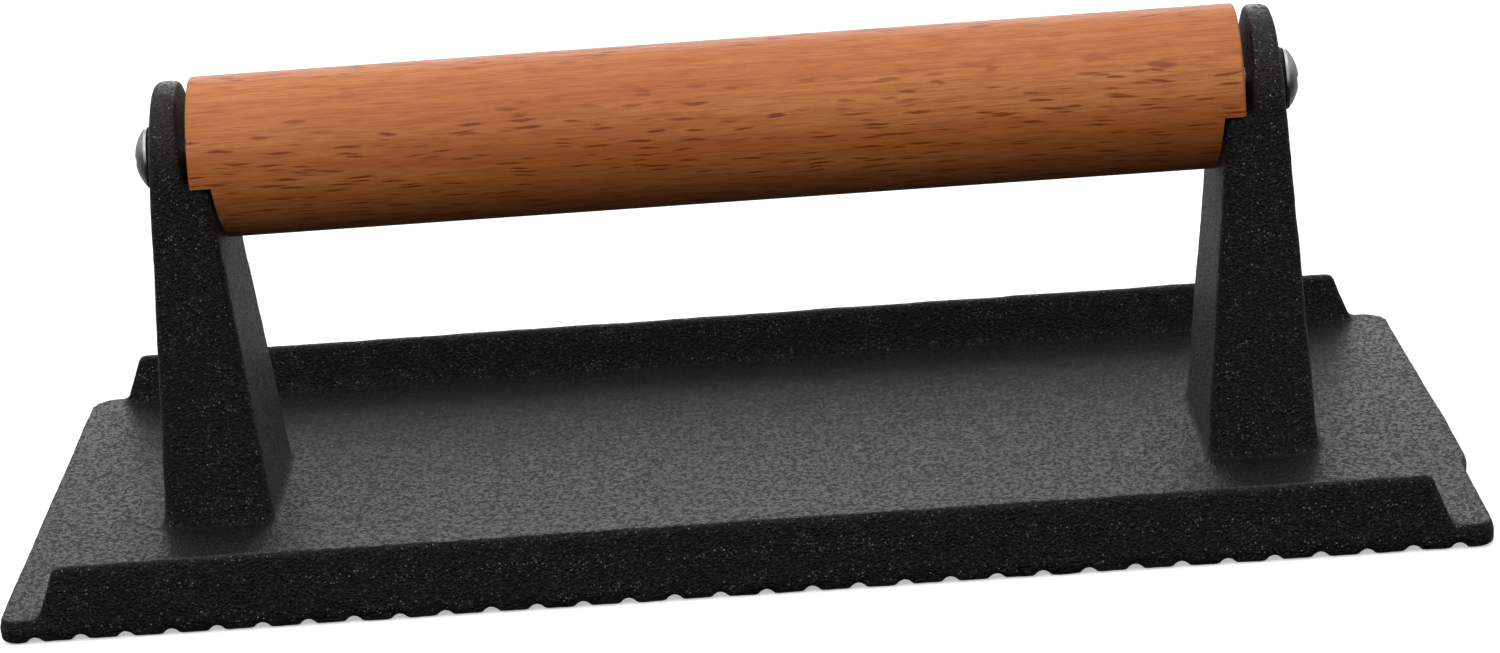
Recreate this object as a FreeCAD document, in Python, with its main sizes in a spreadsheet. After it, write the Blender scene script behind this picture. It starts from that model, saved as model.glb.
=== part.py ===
"""Cast-iron patty press with a round wooden handle.

The press is one grooved iron casting (plate, two long walls and two handle posts), a notched
wooden handle, a steel tie rod inside the handle and one truss-head screw at each end.

Frame: millimetres, +Z up, +X along the handle, -Y is the front. The origin is on the underside,
in the middle of the plate. The handle, the rod and the screws are drawn about their own axis
and placed at their own height: the screws and the rod lie a little above the handle's axis.
"""
import FreeCAD, Part
import math
import os
import Sketcher

V = FreeCAD.Vector

DRIVING_SIZES = {
    # Plate and the grooves under it
    "plate_length": 211.6,
    "plate_width": 108.0,
    "plate_thickness": 3.5,
    "plate_draft": 2.5,
    "front_corner_radius": 2.5,
    "back_corner_radius": 4.5,
    "lower_edge_radius": 0.8,
    "groove_pitch": 6.5,
    "groove_count": 32,
    "groove_mouth": 2.4,
    "groove_floor": 0.5,
    "groove_depth": 1.1,
    # Long walls
    "wall_height": 7.5,
    "wall_thickness": 3.1,
    "wall_draft": 5.0,
    "wall_end_inset": 5.8,
    "wall_end_slope": 20.5,
    "wall_rim_radius": 0.8,
    "wall_foot_radius": 1.0,
    "wall_end_radius": 1.2,
    # Handle posts
    "post_outer_foot": 86.1,
    "post_outer_draft": 2.7,
    "post_inner_foot": 69.6,
    "post_inner_draft": 5.9,
    "post_side_draft": 5.0,
    "post_foot_radius": 1.2,
    "post_edge_radius": 1.4,
    "lobe_edge_radius": 0.8,
    "ledge_edge_radius": 0.5,
    "lobe_radius": 11.8,
    "lobe_inner_face": 78.65,
    "lobe_inner_draft": 3.0,
    "ledge_drop": 2.1,
    "boss_diameter": 9.6,
    "boss_reach": 84.6,
    "screw_hole_diameter": 4.3,
    "screw_rise": 0.5,
    # Handle
    "handle_height": 56.1,
    "handle_diameter": 24.3,
    "handle_length": 155.4,
    "handle_edge_radius": 0.4,
    "notch_gap": 0.3,
    "seat_gap": 0.1,
    # Tie rod and screws
    "rod_diameter": 6.0,
    "rod_bore_diameter": 6.2,
    "rod_length": 146.0,
    "rod_end_gap": 0.5,
    "rod_tap_depth": 12.0,
    "rod_tap_diameter": 4.2,
    "shank_diameter": 4.1,
    "shank_length": 20.0,
    "shank_tip_chamfer": 0.5,
    "head_diameter": 9.2,
    "head_height": 2.2,
    "head_rim": 0.4,
    "recess_span": 4.4,
    "recess_slot": 1.0,
    "recess_depth": 1.2,
}


def make_sheet(doc):
    """Put the driving sizes in a spreadsheet, one alias each."""
    sheet = doc.addObject("Spreadsheet::Sheet", "Sizes")
    for row, (alias, value) in enumerate(DRIVING_SIZES.items(), start=1):
        sheet.set(f"A{row}", alias)
        sheet.set(f"B{row}", str(value))
        sheet.setAlias(f"B{row}", alias)
    doc.recompute()
    return sheet


def make_body(doc, name, label, height="0", turned=False):
    """Start a sub-part; height is an expression for its Z, turned faces it along -X."""
    body = doc.addObject("PartDesign::Body", name)
    body.Label = label
    if turned:
        body.Placement = FreeCAD.Placement(V(0, 0, 0), FreeCAD.Rotation(V(0, 0, 1), 180))
    body.setExpression("Placement.Base.z", height)
    return body


def origin_part(body, role):
    """Find one of the body's own origin planes or axes, such as XY_Plane or X_Axis."""
    return next(part for part in body.Origin.OriginFeatures if part.Role == role)


def new_sketch(body, name, plane, lift=None):
    """Sketch on an origin plane; lift is an expression for its offset along the normal."""
    sketch = body.newObject("Sketcher::SketchObject", name)
    sketch.AttachmentSupport = (origin_part(body, plane), [""])
    sketch.MapMode = "FlatFace"
    if lift:
        sketch.setExpression("AttachmentOffset.Base.z", lift)
    return sketch


def bind(sketch, constraint, expression):
    """Add a constraint and bind its value to an expression."""
    index = sketch.addConstraint(constraint)
    sketch.setExpression(f"Constraints[{index}]", expression)


def draw_outline(sketch, corners, arcs=None):
    """Closed outline whose corners are pairs of expressions.

    Sides are straight, except those in arcs: {side number: (radius, centre x, centre y)}, all
    expressions, which run anticlockwise.
    """
    arcs = arcs or {}
    value = sketch.evalExpression
    points = [V(float(value(x)), float(value(y)), 0) for x, y in corners]
    count = len(points)
    for side, start in enumerate(points):
        end = points[(side + 1) % count]
        if side in arcs:
            radius, centre_x, centre_y = (float(value(item)) for item in arcs[side])
            centre = V(centre_x, centre_y, 0)
            angles = [math.atan2(p.y - centre.y, p.x - centre.x) for p in (start, end)]
            circle = Part.Circle(centre, V(0, 0, 1), radius)
            sketch.addGeometry(Part.ArcOfCircle(circle, *angles), False)
        else:
            sketch.addGeometry(Part.LineSegment(start, end), False)
    for side, (x, y) in enumerate(corners):
        sketch.addConstraint(Sketcher.Constraint("Coincident", side, 2, (side + 1) % count, 1))
        bind(sketch, Sketcher.Constraint("DistanceX", -1, 1, side, 1, points[side].x), x)
        bind(sketch, Sketcher.Constraint("DistanceY", -1, 1, side, 1, points[side].y), y)
    for side, (radius, _, _) in arcs.items():
        bind(sketch, Sketcher.Constraint("Radius", side, float(value(radius))), radius)


def draw_circle(sketch, diameter):
    """Circle about the sketch's origin."""
    radius = float(sketch.evalExpression(diameter)) / 2
    sketch.addGeometry(Part.Circle(V(0, 0, 0), V(0, 0, 1), radius), False)
    sketch.addConstraint(Sketcher.Constraint("Coincident", 0, 3, -1, 1))
    bind(sketch, Sketcher.Constraint("Diameter", 0, radius * 2), diameter)


def add_pad(body, name, sketch, length, symmetric=True):
    pad = body.newObject("PartDesign::Pad", name)
    pad.Profile = sketch
    pad.SideType = "Symmetric" if symmetric else "One side"
    pad.setExpression("Length", length)
    return pad


def add_through_cut(body, name, sketch):
    """Cut the sketch through the whole body, to both sides of its plane."""
    cut = body.newObject("PartDesign::Pocket", name)
    cut.Profile = sketch
    cut.SideType = "Symmetric"
    cut.Type = "ThroughAll"
    return cut


def add_turned(body, name, sketch, kind="Revolution"):
    """Turn a half profile once round the sketch's horizontal axis."""
    turned = body.newObject(f"PartDesign::{kind}", name)
    turned.Profile = sketch
    turned.ReferenceAxis = (sketch, ["H_Axis"])
    turned.Angle = 360
    return turned


def add_mirror(body, name, originals, plane):
    mirror = body.newObject("PartDesign::Mirrored", name)
    mirror.Originals = originals
    mirror.MirrorPlane = (origin_part(body, plane), [""])
    body.Tip = mirror
    return mirror


def edges_where(shape, test):
    """Names of the edges whose middle point and direction pass a test."""
    names = []
    for number, edge in enumerate(shape.Edges, start=1):
        middle = edge.valueAt((edge.FirstParameter + edge.LastParameter) / 2)
        chord = edge.Vertexes[-1].Point - edge.Vertexes[0].Point
        if test(middle, chord):
            names.append(f"Edge{number}")
    return names


def add_fillet(body, name, radius, test):
    """Round the edges of the body's present shape that pass a test."""
    body.Document.recompute()
    base = body.Tip
    names = edges_where(base.Shape, test)
    if not names:
        raise RuntimeError(f"{name} finds no edges")
    fillet = body.newObject("PartDesign::Fillet", name)
    fillet.Base = (base, names)
    fillet.setExpression("Radius", radius)
    return fillet


# --- Base casting ---------------------------------------------------------------------------

NEAR = 0.05
CLEAR = 2
POST_SLANT_IN = "tan(Sizes.post_inner_draft)"
POST_SLANT_OUT = "tan(Sizes.post_outer_draft)"
LEDGE_HEIGHT = "(Sizes.handle_height - Sizes.ledge_drop)"
LEDGE_CORNER = (
    f"(Sizes.post_inner_foot + ({LEDGE_HEIGHT} - Sizes.plate_thickness) * {POST_SLANT_IN})"
)
SCREW_HEIGHT = "(Sizes.handle_height + Sizes.screw_rise)"
POST_TRIM_TOP = f"(Sizes.handle_height + Sizes.lobe_radius + {CLEAR})"


def add_plate(body):
    """Drafted plate with rounded corners, rounder at the back than at the front."""
    sketch = new_sketch(body, "PlateOutline", "XY_Plane")
    half_x, half_y = "Sizes.plate_length / 2", "Sizes.plate_width / 2"
    draw_outline(sketch, [
        (f"-{half_x}", f"-{half_y}"),
        (half_x, f"-{half_y}"),
        (half_x, half_y),
        (f"-{half_x}", half_y),
    ])
    plate = add_pad(body, "Plate", sketch, "Sizes.plate_thickness", symmetric=False)
    plate.setExpression("TaperAngle", "-Sizes.plate_draft")
    add_fillet(body, "FrontCorners", "Sizes.front_corner_radius",
               lambda middle, chord: abs(chord.z) > 1 and middle.y < 0)
    add_fillet(body, "BackCorners", "Sizes.back_corner_radius",
               lambda middle, chord: abs(chord.z) > 1 and middle.y > 0 and abs(chord.x) < 1)


def add_posts(body):
    """Two drafted posts, each with a ledge for the handle and a round lobe beside its end."""
    side = new_sketch(body, "PostSide", "XZ_Plane")
    lobe_slant = "tan(Sizes.lobe_inner_draft)"
    trim_rise = f"({POST_TRIM_TOP} - Sizes.plate_thickness)"
    draw_outline(side, [
        ("Sizes.post_inner_foot", "Sizes.plate_thickness"),
        ("Sizes.post_outer_foot", "Sizes.plate_thickness"),
        (f"Sizes.post_outer_foot - {trim_rise} * {POST_SLANT_OUT}", POST_TRIM_TOP),
        (f"Sizes.lobe_inner_face + ({POST_TRIM_TOP} - Sizes.handle_height) * {lobe_slant}",
         POST_TRIM_TOP),
        (f"Sizes.lobe_inner_face - Sizes.ledge_drop * {lobe_slant}", LEDGE_HEIGHT),
        (LEDGE_CORNER, LEDGE_HEIGHT),
    ])
    post = add_pad(body, "Post", side, "4 * Sizes.lobe_radius")
    add_mirror(body, "OtherPost", [post], "YZ_Plane")

    front = new_sketch(body, "PostFront", "YZ_Plane")
    lean = "Sizes.post_side_draft"
    tangent_y = f"Sizes.lobe_radius * cos({lean})"
    tangent_z = f"(Sizes.handle_height + Sizes.lobe_radius * sin({lean}))"
    foot_y = f"({tangent_y} + ({tangent_z} - Sizes.plate_thickness) * tan({lean}))"
    far_y = "3 * Sizes.lobe_radius"
    far_z = "(Sizes.handle_height + 2 * Sizes.lobe_radius)"
    draw_outline(front, [
        (foot_y, "Sizes.plate_thickness"),
        (tangent_y, tangent_z),
        (f"-{tangent_y}", tangent_z),
        (f"-{foot_y}", "Sizes.plate_thickness"),
        (f"-{far_y}", "Sizes.plate_thickness"),
        (f"-{far_y}", far_z),
        (far_y, far_z),
        (far_y, "Sizes.plate_thickness"),
    ], arcs={1: ("Sizes.lobe_radius", "0", "Sizes.handle_height")})
    add_through_cut(body, "PostTrim", front)


def round_posts(body):
    """Round the posts' edges and feet, as a sand casting has them."""
    size = DRIVING_SIZES
    plate_top = size["plate_thickness"]
    ledge = size["handle_height"] - size["ledge_drop"]

    def on_outer_face(point):
        lean = (point.z - plate_top) * math.tan(math.radians(size["post_outer_draft"]))
        return abs(abs(point.x) - size["post_outer_foot"] + lean) < NEAR

    def on_inner_face(point):
        lean = (point.z - plate_top) * math.tan(math.radians(size["post_inner_draft"]))
        return abs(abs(point.x) - size["post_inner_foot"] - lean) < NEAR

    def on_lobe_face(point):
        lean = (point.z - size["handle_height"]) * math.tan(math.radians(size["lobe_inner_draft"]))
        return abs(abs(point.x) - size["lobe_inner_face"] - lean) < NEAR

    def on_foot(point):
        along = size["post_inner_foot"] - NEAR < abs(point.x) < size["post_outer_foot"] + NEAR
        return along and abs(point.y) < 2 * size["lobe_radius"] and abs(point.z - plate_top) < NEAR

    add_fillet(body, "PostOuterEdges", "Sizes.post_edge_radius",
               lambda m, c: on_outer_face(m) and m.z > plate_top + 1)
    add_fillet(body, "PostInnerEdges", "Sizes.post_edge_radius",
               lambda m, c: on_inner_face(m) and plate_top + 1 < m.z < ledge - 1)
    add_fillet(body, "LobeInnerEdges", "Sizes.lobe_edge_radius",
               lambda m, c: on_lobe_face(m) and m.z > ledge + NEAR)
    add_fillet(body, "LedgeEdges", "Sizes.ledge_edge_radius",
               lambda m, c: abs(m.z - ledge) < NEAR and on_inner_face(m))
    add_fillet(body, "PostFeet", "Sizes.post_foot_radius", lambda m, c: on_foot(m))


def add_bosses(body):
    """Round boss on the outer face of each post, about the screw."""
    profile = new_sketch(body, "BossProfile", "XZ_Plane")
    profile.setExpression("AttachmentOffset.Base.y", SCREW_HEIGHT)
    draw_outline(profile, [
        ("Sizes.lobe_inner_face + 1", "0"),
        ("Sizes.boss_reach", "0"),
        ("Sizes.boss_reach", "Sizes.boss_diameter / 2"),
        ("Sizes.lobe_inner_face + 1", "Sizes.boss_diameter / 2"),
    ])
    boss = add_turned(body, "Boss", profile)
    add_mirror(body, "OtherBoss", [boss], "YZ_Plane")


def add_screw_holes(body):
    """One straight hole through both lobes and bosses."""
    profile = new_sketch(body, "HoleProfile", "XZ_Plane")
    profile.setExpression("AttachmentOffset.Base.y", SCREW_HEIGHT)
    draw_outline(profile, [
        ("-Sizes.plate_length / 2", "0"),
        ("Sizes.plate_length / 2", "0"),
        ("Sizes.plate_length / 2", "Sizes.screw_hole_diameter / 2"),
        ("-Sizes.plate_length / 2", "Sizes.screw_hole_diameter / 2"),
    ])
    add_turned(body, "ScrewHoles", profile, kind="Groove")


def add_walls(body):
    """Thin drafted wall along the front and the back, with sloping ends."""
    wall_top = "(Sizes.plate_thickness + Sizes.wall_height)"
    plate_slant = "tan(Sizes.plate_draft)"
    wall_slant = "tan(Sizes.wall_draft)"
    outer_foot = f"(Sizes.plate_width / 2 - Sizes.plate_thickness * {plate_slant})"
    profile = new_sketch(body, "WallProfile", "YZ_Plane")
    draw_outline(profile, [
        (f"-{outer_foot}", "Sizes.plate_thickness"),
        (f"-{outer_foot} + Sizes.wall_thickness", "Sizes.plate_thickness"),
        (f"-{outer_foot} + Sizes.wall_thickness - Sizes.wall_height * {wall_slant}", wall_top),
        (f"-{outer_foot} + Sizes.wall_height * {wall_slant}", wall_top),
    ])
    wall = add_pad(body, "FrontWall", profile, "Sizes.plate_length - 2 * Sizes.wall_end_inset")
    add_mirror(body, "BackWall", [wall], "XZ_Plane")

    round_walls(body)

    end = new_sketch(body, "WallEnd", "XZ_Plane")
    foot_x = "(Sizes.plate_length / 2 - Sizes.wall_end_inset)"
    slope = "Sizes.wall_end_slope"
    radius = "Sizes.wall_end_radius"
    centre_z = f"({wall_top} - {radius})"
    centre_x = (
        f"({foot_x} - ({radius} + (Sizes.wall_height - {radius}) * sin({slope})) / cos({slope}))"
    )
    draw_outline(end, [
        (f"{centre_x} + {radius} * cos({slope})", f"{centre_z} + {radius} * sin({slope})"),
        (centre_x, wall_top),
        (centre_x, f"{wall_top} + {CLEAR}"),
        (f"{foot_x} + {CLEAR}", f"{wall_top} + {CLEAR}"),
        (f"{foot_x} + {CLEAR}", "Sizes.plate_thickness"),
        (foot_x, "Sizes.plate_thickness"),
    ], arcs={0: (radius, centre_x, centre_z)})
    cut = add_through_cut(body, "WallEndCut", end)
    add_mirror(body, "OtherWallEndCut", [cut], "YZ_Plane")


def round_walls(body):
    """Round the walls' rims and inner feet."""
    size = DRIVING_SIZES
    plate_top = size["plate_thickness"]
    wall_top = plate_top + size["wall_height"]
    outer_foot = size["plate_width"] / 2 - plate_top * math.tan(math.radians(size["plate_draft"]))
    inner_foot = outer_foot - size["wall_thickness"]
    add_fillet(body, "WallRims", "Sizes.wall_rim_radius",
               lambda m, c: abs(m.z - wall_top) < NEAR and abs(c.y) < NEAR)
    add_fillet(body, "WallFeet", "Sizes.wall_foot_radius",
               lambda m, c: abs(m.z - plate_top) < NEAR and abs(abs(m.y) - inner_foot) < NEAR)


def add_grooves(body):
    """Row of V grooves with narrow flat floors under the plate, running front to back."""
    profile = new_sketch(body, "GrooveProfile", "XZ_Plane")
    first = "((Sizes.groove_count - 1) * Sizes.groove_pitch / 2)"
    slope = "((Sizes.groove_mouth - Sizes.groove_floor) / 2 / Sizes.groove_depth)"
    below = 0.5
    draw_outline(profile, [
        (f"-{first} - Sizes.groove_mouth / 2 - {below} * {slope}", f"-{below}"),
        (f"-{first} + Sizes.groove_mouth / 2 + {below} * {slope}", f"-{below}"),
        (f"-{first} + Sizes.groove_floor / 2", "Sizes.groove_depth"),
        (f"-{first} - Sizes.groove_floor / 2", "Sizes.groove_depth"),
    ])
    groove = add_through_cut(body, "Groove", profile)
    row = body.newObject("PartDesign::LinearPattern", "Grooves")
    row.Originals = [groove]
    row.Direction = (origin_part(body, "X_Axis"), [""])
    row.Mode = "Spacing"
    row.setExpression("Offset", "Sizes.groove_pitch")
    row.setExpression("Occurrences", "Sizes.groove_count")
    body.Tip = row


def build_casting(doc):
    body = make_body(doc, "BaseCasting", "base_casting")
    add_plate(body)
    add_posts(body)
    round_posts(body)
    add_bosses(body)
    add_screw_holes(body)
    add_walls(body)
    add_fillet(body, "PlateLowerEdge", "Sizes.lower_edge_radius", lambda m, c: abs(m.z) < NEAR)
    add_grooves(body)
    return body


# --- Handle, tie rod and screws ---------------------------------------------------------------


def build_handle(doc):
    """Wooden cylinder, notched at both ends to sit on the ledges and bored from end to end."""
    body = make_body(doc, "WoodenHandle", "wooden_handle", "Sizes.handle_height")
    section = new_sketch(body, "HandleSection", "YZ_Plane")
    draw_circle(section, "Sizes.handle_diameter")
    add_pad(body, "Cylinder", section, "Sizes.handle_length")
    half = DRIVING_SIZES["handle_length"] / 2
    add_fillet(body, "EndEdges", "Sizes.handle_edge_radius",
               lambda m, c: abs(abs(m.x) - half) < 0.01)

    notch = new_sketch(body, "NotchSide", "XZ_Plane")
    seat = "(Sizes.seat_gap - Sizes.ledge_drop)"
    shoulder = f"({LEDGE_CORNER} - Sizes.notch_gap)"
    below = "Sizes.handle_diameter"
    draw_outline(notch, [
        (shoulder, seat),
        (f"{shoulder} - ({below} + {seat}) * {POST_SLANT_IN}", f"-{below}"),
        ("Sizes.handle_length", f"-{below}"),
        ("Sizes.handle_length", seat),
    ])
    cut = add_through_cut(body, "Notch", notch)
    add_mirror(body, "OtherNotch", [cut], "YZ_Plane")

    bore = new_sketch(body, "BoreProfile", "XZ_Plane")
    bore.setExpression("AttachmentOffset.Base.y", "Sizes.screw_rise")
    rod_end = "(Sizes.rod_length / 2 + Sizes.rod_end_gap)"
    far = "Sizes.handle_length"
    wide = "Sizes.rod_bore_diameter / 2"
    tight = "Sizes.screw_hole_diameter / 2"
    draw_outline(bore, [
        (f"-{far}", "0"),
        (far, "0"),
        (far, tight),
        (rod_end, tight),
        (rod_end, wide),
        (f"-{rod_end}", wide),
        (f"-{rod_end}", tight),
        (f"-{far}", tight),
    ])
    add_turned(body, "Bore", bore, kind="Groove")
    return body


def build_tie_rod(doc):
    """Steel rod inside the handle, tapped at both ends for the screws."""
    body = make_body(doc, "TieRod", "tie_rod", SCREW_HEIGHT)
    profile = new_sketch(body, "RodProfile", "XZ_Plane")
    end = "Sizes.rod_length / 2"
    tap_end = "(Sizes.rod_length / 2 - Sizes.rod_tap_depth)"
    tap = "Sizes.rod_tap_diameter / 2"
    outside = "Sizes.rod_diameter / 2"
    draw_outline(profile, [
        (f"-{tap_end}", "0"),
        (tap_end, "0"),
        (tap_end, tap),
        (end, tap),
        (end, outside),
        (f"-{end}", outside),
        (f"-{end}", tap),
        (f"-{tap_end}", tap),
    ])
    add_turned(body, "Rod", profile)
    return body


def build_screw(doc, side, turned):
    """Truss-head machine screw, drawn with its head's seat at the boss and pointing inwards."""
    body = make_body(doc, f"{side}Screw", f"{side.lower()}_handle_screw", SCREW_HEIGHT, turned)
    profile = new_sketch(body, "ScrewProfile", "XZ_Plane")
    seat = "Sizes.boss_reach"
    tip = "(Sizes.boss_reach - Sizes.shank_length)"
    shank = "Sizes.shank_diameter / 2"
    head = "Sizes.head_diameter / 2"
    dome = "(Sizes.head_height - Sizes.head_rim)"
    dome_radius = f"((Sizes.head_diameter ^ 2 / 4 + {dome} ^ 2) / (2 * {dome}))"
    top = "(Sizes.boss_reach + Sizes.head_height)"
    draw_outline(profile, [
        (tip, "0"),
        (top, "0"),
        (f"{seat} + Sizes.head_rim", head),
        (seat, head),
        (seat, shank),
        (f"{tip} + Sizes.shank_tip_chamfer", shank),
        (tip, f"{shank} - Sizes.shank_tip_chamfer"),
    ], arcs={1: (dome_radius, f"{top} - {dome_radius}", "0")})
    add_turned(body, "Screw", profile)

    recess = new_sketch(body, "RecessCross", "YZ_Plane", lift=top)
    arm = "Sizes.recess_span / 2"
    slot = "Sizes.recess_slot / 2"
    quarter = [(arm, f"-{slot}"), (arm, slot), (slot, slot)]
    corners = []
    for turn in range(4):
        for x, y in quarter:
            corners.append(quarter_turned(x, y, turn))
    draw_outline(recess, corners)
    cut = body.newObject("PartDesign::Pocket", "Recess")
    cut.Profile = recess
    cut.setExpression("Length", "Sizes.recess_depth")
    return body


def quarter_turned(x, y, turns):
    """A corner turned by so many quarter turns about the sketch's origin, as expressions."""
    for _ in range(turns):
        x, y = f"-({y})", x
    return x, y


def check(doc, bodies):
    """Stop if any object failed or any sub-part isn't one valid solid."""
    for item in doc.Objects:
        if "Invalid" in item.State or "Error" in item.State:
            raise RuntimeError(f"{item.Name} failed: {item.State}")
    for body in bodies:
        shape = body.Shape
        if shape.isNull() or not shape.isValid() or len(shape.Solids) != 1:
            raise RuntimeError(f"{body.Label} isn't one valid solid")
        print(body.Label, "volume mm3", round(shape.Volume, 1))


def main():
    doc = FreeCAD.newDocument("patty_press")
    make_sheet(doc)
    bodies = [
        build_casting(doc),
        build_handle(doc),
        build_tie_rod(doc),
        build_screw(doc, "Left", turned=True),
        build_screw(doc, "Right", turned=False),
    ]
    doc.recompute()
    check(doc, bodies)
    os.makedirs("parts", exist_ok=True)
    for body in bodies:
        body.Shape.exportStep(f"parts/{body.Label}.step")


main()
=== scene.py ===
"""Looks of the cast-iron patty press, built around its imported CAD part.

The casting is remeshed from its CAD node so that its edges and faces have the soft, slightly
uneven shape of a sand casting. The handle, the tie rod and the screws are the CAD nodes with
better materials. Lengths of the scene are metres unless a name says mm. Inside a material they
are millimetres, as Shader.place() gives them.
"""

import math

import bmesh
import bpy
import numpy as np
from mathutils import Matrix, Vector, noise


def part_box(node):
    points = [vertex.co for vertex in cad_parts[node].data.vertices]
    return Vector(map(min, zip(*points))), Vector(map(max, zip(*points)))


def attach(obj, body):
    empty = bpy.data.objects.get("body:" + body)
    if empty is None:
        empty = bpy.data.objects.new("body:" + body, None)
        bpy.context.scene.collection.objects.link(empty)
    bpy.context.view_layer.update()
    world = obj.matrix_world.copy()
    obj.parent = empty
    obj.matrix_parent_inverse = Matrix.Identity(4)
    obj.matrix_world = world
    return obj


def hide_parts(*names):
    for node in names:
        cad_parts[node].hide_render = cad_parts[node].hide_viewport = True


MM = 0.001

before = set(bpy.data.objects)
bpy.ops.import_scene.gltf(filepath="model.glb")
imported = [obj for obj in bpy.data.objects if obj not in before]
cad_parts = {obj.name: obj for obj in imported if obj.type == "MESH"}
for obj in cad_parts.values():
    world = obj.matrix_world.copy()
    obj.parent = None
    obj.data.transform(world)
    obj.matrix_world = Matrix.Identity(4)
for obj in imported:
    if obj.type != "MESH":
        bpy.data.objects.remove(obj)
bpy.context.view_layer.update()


# --- Node helpers -----------------------------------------------------------------------------


class Nodes:
    """A node tree, with short calls for the nodes that the materials and the world share."""

    def __init__(self, tree):
        self.tree = tree

    def add(self, kind, **settings):
        node = self.tree.nodes.new(kind)
        for key, value in settings.items():
            setattr(node, key, value)
        return node

    def plug(self, socket, value):
        """Link an output to a socket, or set the socket to a number or colour."""
        if isinstance(value, bpy.types.NodeSocket):
            self.tree.links.new(value, socket)
        elif value is not None:
            socket.default_value = value

    def split(self, vector):
        node = self.add("ShaderNodeSeparateXYZ")
        self.plug(node.inputs[0], vector)
        return node.outputs

    def mix(self, factor, a, b):
        """Mix two colours. Several sockets share each name, and the enabled one is for colours."""
        node = self.add("ShaderNodeMix", data_type="RGBA")
        for name, value in (("Factor", factor), ("A", colour(a)), ("B", colour(b))):
            self.plug(next(i for i in node.inputs if i.name == name and i.enabled), value)
        return next(o for o in node.outputs if o.enabled)

    def grey_ramp(self, value, stops):
        """Turn a value into greys, given as pairs of position and grey."""
        ramp = self.add("ShaderNodeValToRGB")
        self.plug(ramp.inputs[0], value)
        elements = ramp.color_ramp.elements
        while len(elements) < len(stops):
            elements.new(0.5)
        for element, (position, level) in zip(elements, stops):
            element.position = position
            element.color = (level, level, level, 1)
        return ramp.outputs["Color"]


class Shader(Nodes):
    """One material's nodes, round its Principled surface shader."""

    def __init__(self, name):
        self.material = bpy.data.materials.new(name)
        self.material.use_nodes = True
        super().__init__(self.material.node_tree)
        self.surface = self.tree.nodes["Principled BSDF"]

    def place(self):
        """The point's place in millimetres."""
        return self.scaled(self.add("ShaderNodeTexCoord").outputs["Object"], (1 / MM,) * 3)

    def scaled(self, vector, factors):
        """A vector with each of its parts multiplied by its own factor."""
        node = self.add("ShaderNodeVectorMath", operation="MULTIPLY")
        self.plug(node.inputs[0], vector)
        self.plug(node.inputs[1], factors)
        return node.outputs["Vector"]

    def along(self, vector, way):
        """How far a place lies along a direction."""
        node = self.add("ShaderNodeVectorMath", operation="DOT_PRODUCT")
        self.plug(node.inputs[0], vector)
        self.plug(node.inputs[1], way)
        return node.outputs["Value"]

    def join(self, x, y, z):
        node = self.add("ShaderNodeCombineXYZ")
        for socket, value in zip(node.inputs, (x, y, z)):
            self.plug(socket, value)
        return node.outputs[0]

    def math(self, operation, a, b=None, c=None):
        node = self.add("ShaderNodeMath", operation=operation)
        for socket, value in zip(node.inputs, (a, b, c)):
            self.plug(socket, value)
        return node.outputs[0]

    def fit(self, value, low, high, to_low=0.0, to_high=1.0):
        """Move a value smoothly from one range to another, clamped."""
        node = self.add("ShaderNodeMapRange", interpolation_type="SMOOTHSTEP")
        for socket, number in zip(node.inputs, (value, low, high, to_low, to_high)):
            self.plug(socket, number)
        return node.outputs[0]

    def noise(self, vector, scale, detail=2.0, roughness=0.5):
        node = self.add("ShaderNodeTexNoise")
        self.plug(node.inputs["Vector"], vector)
        self.plug(node.inputs["Scale"], scale)
        self.plug(node.inputs["Detail"], detail)
        self.plug(node.inputs["Roughness"], roughness)
        return node.outputs["Fac"]

    def cells(self, vector, scale):
        """Voronoi cells: distance to the nearest point, and that cell's random colour."""
        node = self.add("ShaderNodeTexVoronoi")
        self.plug(node.inputs["Vector"], vector)
        self.plug(node.inputs["Scale"], scale)
        return node.outputs["Distance"], node.outputs["Color"]

    def bump(self, height, depth_mm, normal=None):
        node = self.add("ShaderNodeBump")
        self.plug(node.inputs["Height"], height)
        self.plug(node.inputs["Distance"], depth_mm * MM)
        self.plug(node.inputs["Normal"], normal)
        return node.outputs["Normal"]

    def finish(self, **sockets):
        """Set the surface shader's sockets, named with _ for a space, and give the material."""
        for name, value in sockets.items():
            self.plug(self.surface.inputs[name.replace("_", " ")], value)
        return self.material


def colour(value):
    """Three numbers as a colour with alpha; anything else as it is."""
    return (*value, 1.0) if isinstance(value, tuple) and len(value) == 3 else value


def grey(level):
    return (level, level, level)


# --- Cast iron --------------------------------------------------------------------------------

IRON_DARK = (0.0030, 0.0030, 0.0031)
IRON_PALE = (0.0065, 0.0063, 0.0064)
WORN_BROWN = (0.035, 0.013, 0.010)
LOBE_BROWN = (0.014, 0.009, 0.0075)
FOOT_BROWN = (0.060, 0.036, 0.030)
PAINTED_GLINT_GREY = grey(0.055)
GRAIN_HIGHLIGHT_GREY = grey(0.27)
LOBE_START_MM = 52.0
LOBE_FULL_MM = 60.0
LUMP_DEPTH_MM = 0.20
RELIEF_DEPTH_MM = 0.22
IRON_SPECULAR = 0.34


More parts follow.
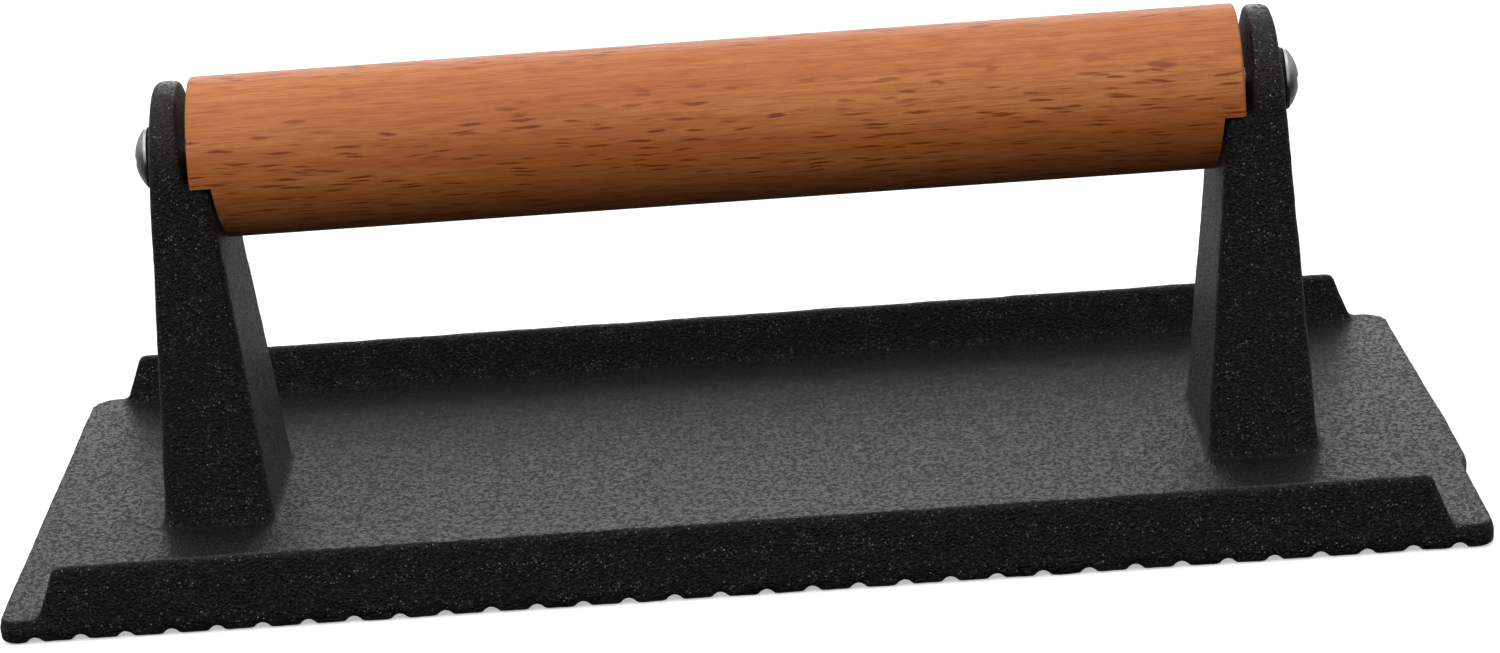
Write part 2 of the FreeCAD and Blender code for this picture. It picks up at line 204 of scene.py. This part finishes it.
def iron_normal(s, place, pits, flat_top, smooth_lobe):
    """Broad lumps, with rounded pebbles, fine grit and open pits on them."""
    lumps = s.noise(place, 0.35, 2.0, 0.5)
    pebble_distance, _ = s.cells(place, 2.1)
    pebbles = s.fit(pebble_distance, 0.05, 0.60, 1.0, 0.0)
    grit = s.noise(place, 3.2, 4.0, 0.7)
    relief = s.math("MULTIPLY_ADD", pebbles, 0.60, s.math("MULTIPLY", grit, 0.60))
    relief = s.math("MULTIPLY_ADD", pits, -0.45, relief)
    relief = s.math("MULTIPLY", relief, s.fit(smooth_lobe, 0.0, 1.0, 1.0, 0.35))
    relief = s.math("MULTIPLY", relief, s.fit(flat_top, 0.0, 1.0, 1.9, 1.0))
    return s.bump(lumps, LUMP_DEPTH_MM, s.bump(relief, RELIEF_DEPTH_MM))


def iron_grain_highlights(s, place, flat_top):
    """Painted highlights: bright specks where grains of sand stand up out of the skin and would
    catch the light, in loose crowds.
    """
    distance, random_colour = s.cells(place, 2.3)
    random = s.split(random_colour)
    crowd = s.fit(s.noise(place, 0.22, 2.0), 0.35, 0.65, 0.90, 0.50)
    chosen = s.math("GREATER_THAN", random[0], crowd)
    grains = s.math("MULTIPLY", s.fit(distance, 0.10, 0.42, 1.0, 0.0), chosen)
    grains = s.math("MULTIPLY", grains, s.fit(flat_top, 0.0, 1.0, 1.0, 0.25))
    sparkle = s.fit(random[1], 0.3, 1.0, 0.15, 1.0)
    return s.math("MULTIPLY", grains, sparkle)


def iron_colour(s, place, height, flat_top, smooth_lobe):
    """Near black, with worn brown edges and lobes, a lighter brown band along the foot, and painted
    highlights: small pale glints and bright grain specks.
    """
    mottle = s.noise(place, 0.9, 4.0, 0.65)
    edge = s.fit(s.add("ShaderNodeNewGeometry").outputs["Pointiness"], 0.52, 0.60)
    worn = s.math("MULTIPLY", edge, s.fit(s.noise(place, 0.25, 3.0), 0.42, 0.62))
    # A lighter brown band along the bottom, fading out by 1.4 mm up.
    foot = s.math("MULTIPLY", s.fit(height, 0.3, 1.4, 1.0, 0.0),
                  s.fit(s.noise(place, 0.12, 2.0), 0.45, 0.60))
    # Painted glints: pale patches in the colour, mostly on the sides and few on the flat top.
    glints = s.fit(s.noise(place, 1.9, 3.0, 0.6), 0.55, 0.70)
    glints = s.math("MULTIPLY", glints, s.fit(flat_top, 0.0, 1.0, 0.90, 0.10))

    base = s.mix(s.fit(mottle, 0.35, 0.65), IRON_DARK, IRON_PALE)
    base = s.mix(s.math("MULTIPLY", worn, 0.5), base, WORN_BROWN)
    base = s.mix(s.math("MULTIPLY", smooth_lobe, 0.5), base, LOBE_BROWN)
    base = s.mix(s.math("MULTIPLY", foot, 0.6), base, FOOT_BROWN)
    # Painted highlights mixed into the colour: the pale glints, then the bright grain specks.
    base = s.mix(glints, base, PAINTED_GLINT_GREY)
    return s.mix(iron_grain_highlights(s, place, flat_top), base, GRAIN_HIGHLIGHT_GREY)


def iron_gloss(s, place, pits, flat_top):
    """Even on the sides, and shinier on the flat top than in its pits."""
    side = s.fit(s.noise(place, 1.7, 2.0), 0.3, 0.7, 0.33, 0.46)
    return s.mix(flat_top, side, s.fit(pits, 0.0, 1.0, 0.30, 0.62))


def cast_iron():
    """Black seasoned sand casting: pebbled, with painted highlights on its grains, worn brown on
    its edges.
    """
    s = Shader("black_cast_iron")
    place = s.place()
    height = s.split(place)[2]
    up = s.split(s.add("ShaderNodeNewGeometry").outputs["Normal"])[2]
    flat_top = s.fit(up, 0.75, 0.95)
    smooth_lobe = s.fit(height, LOBE_START_MM, LOBE_FULL_MM)
    pits = s.fit(s.noise(s.scaled(place, (1.0, 0.6, 1.0)), 1.5, 4.0, 0.75), 0.46, 0.60)
    return s.finish(Base_Color=iron_colour(s, place, height, flat_top, smooth_lobe),
                    Roughness=iron_gloss(s, place, pits, flat_top),
                    Normal=iron_normal(s, place, pits, flat_top, smooth_lobe),
                    Specular_IOR_Level=IRON_SPECULAR)


# --- Beech ------------------------------------------------------------------------------------

BEECH_DARK = (0.525, 0.150, 0.031)
BEECH_PALE = (0.650, 0.232, 0.064)
RING_BROWN = (0.42, 0.105, 0.022)
STREAK_BROWN = (0.38, 0.088, 0.018)
FLAKE_RED = (0.50, 0.100, 0.020)
DASH_BROWN = (0.25, 0.038, 0.006)
RAY_TILT = math.radians(-34)
RAY_DEPTH_MM = 6.0
# Length and width in mm of each size of ray, and the random number below which one is faint.
RAY_SIZES = ((8.6, 0.62, 0.08), (6.2, 0.52, 0.15))
RAY_SHIFT = 17.3
FLAKE_SIZE_MM = (2.6, 5.0, 3.2)
WOOD_DEPTH_MM = 0.05
BEECH_SPECULAR = 0.45


def beech_dashes(s, x, across, along_ray):
    """Rays seen end on: thin spindles, long along X and deep along the ray, in two sizes."""
    dashes = None
    for number, (length, width, least) in enumerate(RAY_SIZES):
        ray_place = s.join(
            s.math("MULTIPLY_ADD", x, 1 / length, RAY_SHIFT * number),
            s.math("MULTIPLY", across, 1 / width),
            s.math("MULTIPLY", along_ray, 1 / RAY_DEPTH_MM),
        )
        distance, random_colour = s.cells(ray_place, 1.0)
        found = s.math("MULTIPLY", s.fit(distance, 0.14, 0.33, 1.0, 0.0),
                       s.fit(s.split(random_colour)[0], least, least + 0.45, 0.05, 1.0))
        dashes = found if dashes is None else s.math("MAXIMUM", dashes, found)
    facing = s.fit(s.math("ABSOLUTE", along_ray), 1.5, 7.0, 0.20, 1.0)
    return s.math("MULTIPLY", dashes, facing)


def beech_flakes(s, x, across_ray, along_ray):
    """Rays seen from the side, on the face that they lie in."""
    sizes = tuple(1 / size for size in FLAKE_SIZE_MM)
    distance, random_colour = s.cells(s.scaled(s.join(x, across_ray, along_ray), sizes), 1.0)
    flakes = s.math("MULTIPLY", s.fit(distance, 0.25, 0.42, 1.0, 0.0),
                    s.fit(s.split(random_colour)[1], 0.55, 0.95))
    lying = s.fit(s.math("ABSOLUTE", along_ray), 2.0, 6.0, 1.0, 0.0)
    return s.math("MULTIPLY", flakes, lying)


def beech(axis_height):
    """Oiled beech along X: rays as dashes on one face and flakes on the next, and rings."""
    s = Shader("beech")
    x, y, z = s.split(s.place())
    centred = s.join(x, y, s.math("SUBTRACT", z, axis_height / MM))
    along_ray = s.along(centred, (0.0, -math.cos(RAY_TILT), math.sin(RAY_TILT)))
    across_ray = s.along(centred, (0.0, math.sin(RAY_TILT), math.cos(RAY_TILT)))

    # The grain wanders slowly across the rays, and a little more finely along the stick.
    drift = s.noise(s.scaled(centred, (0.022, 0.0, 0.05)), 1.0)
    sway = s.math("MULTIPLY_ADD", drift, 5.0, -2.5)
    ripple = s.noise(s.scaled(centred, (0.16, 0.3, 0.3)), 1.0)
    across = s.math("MULTIPLY_ADD", sway, 0.45, across_ray)
    across = s.math("MULTIPLY_ADD", ripple, 0.8, across)

    dashes = beech_dashes(s, x, across, along_ray)
    flakes = beech_flakes(s, x, across_ray, along_ray)
    rings = s.math("SINE", s.math("MULTIPLY", s.math("ADD", along_ray, sway), 2.6))
    rings = s.fit(rings, 0.2, 1.0)
    bands = s.noise(s.scaled(centred, (0.010, 0.10, 0.16)), 1.0, 3.0)
    streaks = s.noise(s.scaled(centred, (0.16, 3.4, 3.4)), 1.0, 4.0, 0.7)

    base = s.mix(s.fit(bands, 0.3, 0.7), BEECH_DARK, BEECH_PALE)
    base = s.mix(s.math("MULTIPLY", rings, 0.30), base, RING_BROWN)
    base = s.mix(s.fit(streaks, 0.40, 0.68, 0.0, 0.70), base, STREAK_BROWN)
    base = s.mix(s.math("MULTIPLY", flakes, 0.35), base, FLAKE_RED)
    base = s.mix(s.math("MULTIPLY", dashes, 0.95), base, DASH_BROWN)
    depth = s.math("MULTIPLY_ADD", dashes, -0.4, s.math("MULTIPLY", streaks, 0.35))
    return s.finish(Base_Color=base, Roughness=s.fit(streaks, 0.3, 0.7, 0.42, 0.54),
                    Normal=s.bump(depth, WOOD_DEPTH_MM), Specular_IOR_Level=BEECH_SPECULAR)


# --- Steel and floor --------------------------------------------------------------------------

ROD_GREY = (0.50, 0.50, 0.51)
ROD_ROUGHNESS = (0.30, 0.45)
SCREW_GREY = (0.62, 0.62, 0.63)
SCREW_ROUGHNESS = (0.30, 0.42)
MARK_DEPTH_MM = 0.01
FLOOR_GREYS = (grey(0.88), grey(0.91))
FLOOR_GLOW = 0.5


def steel(name, tone, roughness_range):
    """Plain steel with fine turning marks round its axis and a little uneven gloss."""
    s = Shader(name)
    place = s.place()
    patches = s.noise(place, 0.8, 3.0)
    marks = s.noise(s.scaled(place, (9.0, 1.0, 1.0)), 0.5, 2.0)
    roughness = s.fit(s.math("MULTIPLY_ADD", marks, 0.4, patches), 0.4, 1.0, *roughness_range)
    base = s.mix(patches, tuple(part * 0.86 for part in tone), tone)
    return s.finish(Base_Color=base, Roughness=roughness, Metallic=1.0,
                    Normal=s.bump(marks, MARK_DEPTH_MM))


def pale_floor():
    """Pale, dull and glowing a little, so that the shadows on it stay faint."""
    s = Shader("studio_floor")
    base = s.mix(s.noise(s.place(), 0.002, 2.0), *FLOOR_GREYS)
    return s.finish(Base_Color=base, Roughness=0.9, Specular_IOR_Level=0.0,
                    Emission_Color=base, Emission_Strength=FLOOR_GLOW)


def wear(node, material):
    """Give a shown CAD node one material."""
    node.data.materials.clear()
    node.data.materials.append(material)
    for face in node.data.polygons:
        face.material_index = 0


# --- The casting ------------------------------------------------------------------------------

WELD = 1e-6
VOXEL = 0.5 * MM
MOST_TRIANGLES = 190_000
# How high each kind of lump is and how wide, in mm, and how far its pattern is shifted.
LUMPS = (
    (0.10, 11.0, (0, 0, 0)),
    (0.06, 3.1, (7, 3, 1)),
    (0.035, 1.5, (2, 9, 4)),
)
# Where the gate stub begins and is full: from the back, from the front, from above, and from
# inside the plate's end.
GATE_STUB_MM = 1.0
STUB_BACK_MM = (52.0, -18.0)
STUB_FRONT_MM = (-26.0, -21.5)
STUB_TOP_MM = (4.0, 3.4)
STUB_INSIDE_MM = (2.5, 0.8)
PARTING_RIDGE_MM = 0.22
PARTING_HEIGHT_MM = 2.1
PARTING_HALF_MM = 0.45
PARTING_RAGGED_MM = 9
PARTING_INSIDE_MM = (1.2, 0.5)
HANDLE_MARGIN = 1.6 * MM
# As a share of the screw head's width, a little over its radius.
SCREW_REACH = 0.6
CLEARANCE_MM = 0.04


def new_object(name, data):
    made = bpy.data.objects.new(name, data)
    bpy.context.scene.collection.objects.link(made)
    return made


def baked_modifiers(obj):
    """Replace an object's mesh with the one that its modifiers make."""
    graph = bpy.context.evaluated_depsgraph_get()
    mesh = bpy.data.meshes.new_from_object(obj.evaluated_get(graph), depsgraph=graph)
    obj.modifiers.clear()
    obj.data = mesh
    return mesh


def vector_rows(items, name):
    """One vector of each item, such as each vertex's co, as rows of three numbers."""
    found = np.empty(len(items) * 3, np.float32)
    items.foreach_get(name, found)
    return found.reshape(-1, 3).astype(float)


def welded_copy(mesh):
    """A copy of a mesh with its doubled points merged."""
    copy = mesh.copy()
    welded = bmesh.new()
    welded.from_mesh(copy)
    bmesh.ops.remove_doubles(welded, verts=welded.verts, dist=WELD)
    welded.to_mesh(copy)
    welded.free()
    return copy


def uneven(points_mm):
    """How far a cast face stands out or in at each point, in mm."""
    out = np.empty(len(points_mm))
    for i, point in enumerate(points_mm):
        p = Vector(point)
        out[i] = sum(height * noise.noise(p / width + Vector(shift))
                     for height, width, shift in LUMPS)
    return out


def ease(values, low, high):
    """0 below low, 1 above high and a smooth step between; low may be the larger."""
    share = np.clip((values - low) / (high - low), 0, 1)
    return share * share * (3 - 2 * share)


def near_side(values, half_size, inside):
    """0 to 1 between two depths inside a side that is half_size from the middle."""
    return ease(values, half_size - inside[0], half_size - inside[1])


def foundry_marks(points_mm, half_length, half_width):
    """Sideways moves, in mm, for the ground gate stub and the parting line of the mould."""
    x, y, z = points_mm.T
    moves = np.zeros_like(points_mm)
    stub = ease(y, *STUB_BACK_MM) * ease(y, *STUB_FRONT_MM)
    at_side = ease(z, *STUB_TOP_MM)
    moves[:, 0] = GATE_STUB_MM * stub * at_side * near_side(x, half_length, STUB_INSIDE_MM)
    ridge = np.exp(-((z - PARTING_HEIGHT_MM) / PARTING_HALF_MM) ** 2)
    ragged = np.array([noise.noise(Vector((px / PARTING_RAGGED_MM, py / PARTING_RAGGED_MM, 3.0)))
                       for px, py in zip(x, y)])
    reach = PARTING_RIDGE_MM * ridge * np.clip(0.45 + ragged, 0, 1)
    for axis, side, half_size in ((0, x, half_length), (1, y, half_width)):
        moves[:, axis] += np.sign(side) * reach * near_side(abs(side), half_size, PARTING_INSIDE_MM)
    return moves


def keep_clear(rise_mm, points):
    """Let the faces round the handle and the screws only sink, to keep them off those pieces."""
    low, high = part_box("wooden_handle")
    screw_low, screw_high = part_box("right_handle_screw")
    x, y, z = points.T
    by_handle = (abs(x) < high.x + HANDLE_MARGIN) & (z > low.z - HANDLE_MARGIN)
    off_axis = np.hypot(y, z - (screw_low.z + screw_high.z) / 2)
    by_screw = (abs(x) > screw_low.x) & (off_axis < (screw_high.z - screw_low.z) * SCREW_REACH)
    return np.where(by_handle | by_screw, -CLEARANCE_MM + np.minimum(rise_mm, 0) * 0.5, rise_mm)


def roughen(mesh):
    """Move a fine mesh of the casting to an uneven face with foundry marks, flat underneath."""
    points = vector_rows(mesh.vertices, "co")
    normals = vector_rows(mesh.vertex_normals, "vector")
    low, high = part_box("base_casting")
    marks = foundry_marks(points / MM, high.x / MM, high.y / MM)
    rise = keep_clear(uneven(points / MM), points)
    points += normals * (rise * MM)[:, None] + marks * MM
    points[:, 2] = np.maximum(points[:, 2], low.z)
    mesh.vertices.foreach_set("co", points.astype(np.float32).ravel())
    mesh.update()


def build_casting():
    """The casting's CAD mesh, remeshed finely, softened and made slightly uneven."""
    casting = new_object("iron_casting", welded_copy(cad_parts["base_casting"].data))
    remesh = casting.modifiers.new("remesh", "REMESH")
    remesh.mode = "VOXEL"
    remesh.voxel_size = VOXEL
    soften = casting.modifiers.new("soften", "SMOOTH")
    soften.factor = 0.5
    soften.iterations = 4
    mesh = baked_modifiers(casting)
    roughen(mesh)
    thin = casting.modifiers.new("thin", "DECIMATE")
    thin.ratio = MOST_TRIANGLES / (2 * len(mesh.polygons))
    mesh = baked_modifiers(casting)
    mesh.shade_smooth()
    mesh.materials.clear()
    mesh.materials.append(cast_iron())
    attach(casting, "root")
    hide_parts("base_casting")


# --- Stage ------------------------------------------------------------------------------------

FLOOR_DROP = 0.05 * MM
CAMERA_PLACE = (0.00907, -0.6559, 0.21417)
CAMERA_TURN = -0.03599
CAMERA_DOWN = 0.28030
CAMERA_ROLL = -0.07846
SENSOR_MM = 36.0
LENS_MM = 108.55
LENS_SHIFT = 0.0781
CLIP_START = 0.01


def build_floor():
    """A large pale floor, a hair under the press, that curves up far behind it."""
    half_width, front, back = 6.0, -5.0, 5.0
    bend_radius, wall_top, steps = 1.5, 4.0, 24
    bend_start = back - bend_radius
    line = [(front, 0.0), (bend_start, 0.0)]
    for step in range(1, steps + 1):
        turn = math.pi / 2 * step / steps
        line.append((bend_start + bend_radius * math.sin(turn),
                     bend_radius * (1 - math.cos(turn))))
    line.append((back, wall_top))
    made = bmesh.new()
    rows = [[made.verts.new((side, y, z)) for side in (-half_width, half_width)] for y, z in line]
    for near, far in zip(rows, rows[1:]):
        made.faces.new((near[0], near[1], far[1], far[0]))
    mesh = bpy.data.meshes.new("studio_floor")
    made.to_mesh(mesh)
    made.free()
    mesh.materials.append(pale_floor())
    floor = new_object("studio_floor", mesh)
    floor.location.z = -FLOOR_DROP
    floor.visible_diffuse = False
    floor.visible_glossy = False


def add_softbox(name, place, target, width, depth, power):
    light = bpy.data.lights.new(name, "AREA")
    light.shape = "RECTANGLE"
    light.size = width
    light.size_y = depth
    light.energy = power
    lamp = new_object(name, light)
    lamp.location = place
    lamp.rotation_euler = (Vector(target) - Vector(place)).to_track_quat("-Z", "Y").to_euler()
    return lamp


def build_dome():
    """Soft light from all of the sky, and below the horizon only from the back."""
    world = bpy.data.worlds.new("studio")
    world.use_nodes = True
    w = Nodes(world.node_tree)
    _, back, up = w.split(w.add("ShaderNodeTexCoord").outputs["Generated"])
    sky = w.grey_ramp(up, ((0.0, 0.0), (0.05, 0.42), (0.35, 0.62), (1.0, 0.80)))
    behind = w.grey_ramp(back, ((0.35, 0.0), (0.85, 0.36)))
    upward = w.grey_ramp(up, ((0.0, 0.0), (0.05, 1.0)))
    w.plug(w.tree.nodes["Background"].inputs["Color"], w.mix(upward, behind, sky))
    bpy.context.scene.world = world


def build_lights():
    """The dome, three soft boxes round the press, and a small one for glints on the iron."""
    build_dome()
    add_softbox("overhead", (0.0, 0.0, 1.2), (0, 0, 0), 1.4, 1.0, 3)
    add_softbox("behind", (0.0, 2.2, 0.75), (0, 0, 0.05), 1.2, 1.3, 8.5)
    front = add_softbox("front", (-0.4, -1.0, 1.15), (0, 0, 0.03), 1.4, 0.8, 6.4)
    front.visible_glossy = False
    add_softbox("glint", (-0.35, -0.8, 0.95), (0, 0, 0.03), 0.30, 0.30, 0.6)


def build_camera():
    """A long lens a little above the press, turned and rolled slightly."""
    forward = Vector((math.sin(CAMERA_TURN) * math.cos(CAMERA_DOWN),
                      math.cos(CAMERA_TURN) * math.cos(CAMERA_DOWN),
                      -math.sin(CAMERA_DOWN)))
    level = Vector((math.cos(CAMERA_TURN), -math.sin(CAMERA_TURN), 0.0))
    rise = level.cross(forward)
    right = math.cos(CAMERA_ROLL) * level + math.sin(CAMERA_ROLL) * rise
    up = math.cos(CAMERA_ROLL) * rise - math.sin(CAMERA_ROLL) * level
    data = bpy.data.cameras.new("camera")
    data.sensor_width = SENSOR_MM
    data.lens = LENS_MM
    data.shift_x = LENS_SHIFT
    data.clip_start = CLIP_START
    camera = new_object("camera", data)
    axes = Matrix((right, up, -forward)).transposed().to_4x4()
    camera.matrix_world = Matrix.Translation(CAMERA_PLACE) @ axes
    bpy.context.scene.camera = camera


def main():
    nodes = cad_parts
    low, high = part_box("wooden_handle")
    build_casting()
    wear(nodes["wooden_handle"], beech((low.z + high.z) / 2))
    wear(nodes["tie_rod"], steel("rod_steel", ROD_GREY, ROD_ROUGHNESS))
    screw_steel = steel("screw_steel", SCREW_GREY, SCREW_ROUGHNESS)
    wear(nodes["left_handle_screw"], screw_steel)
    wear(nodes["right_handle_screw"], screw_steel)
    build_floor()
    build_lights()
    build_camera()
    bpy.context.scene.view_settings.view_transform = "Standard"


main()

bpy.context.view_layer.update()
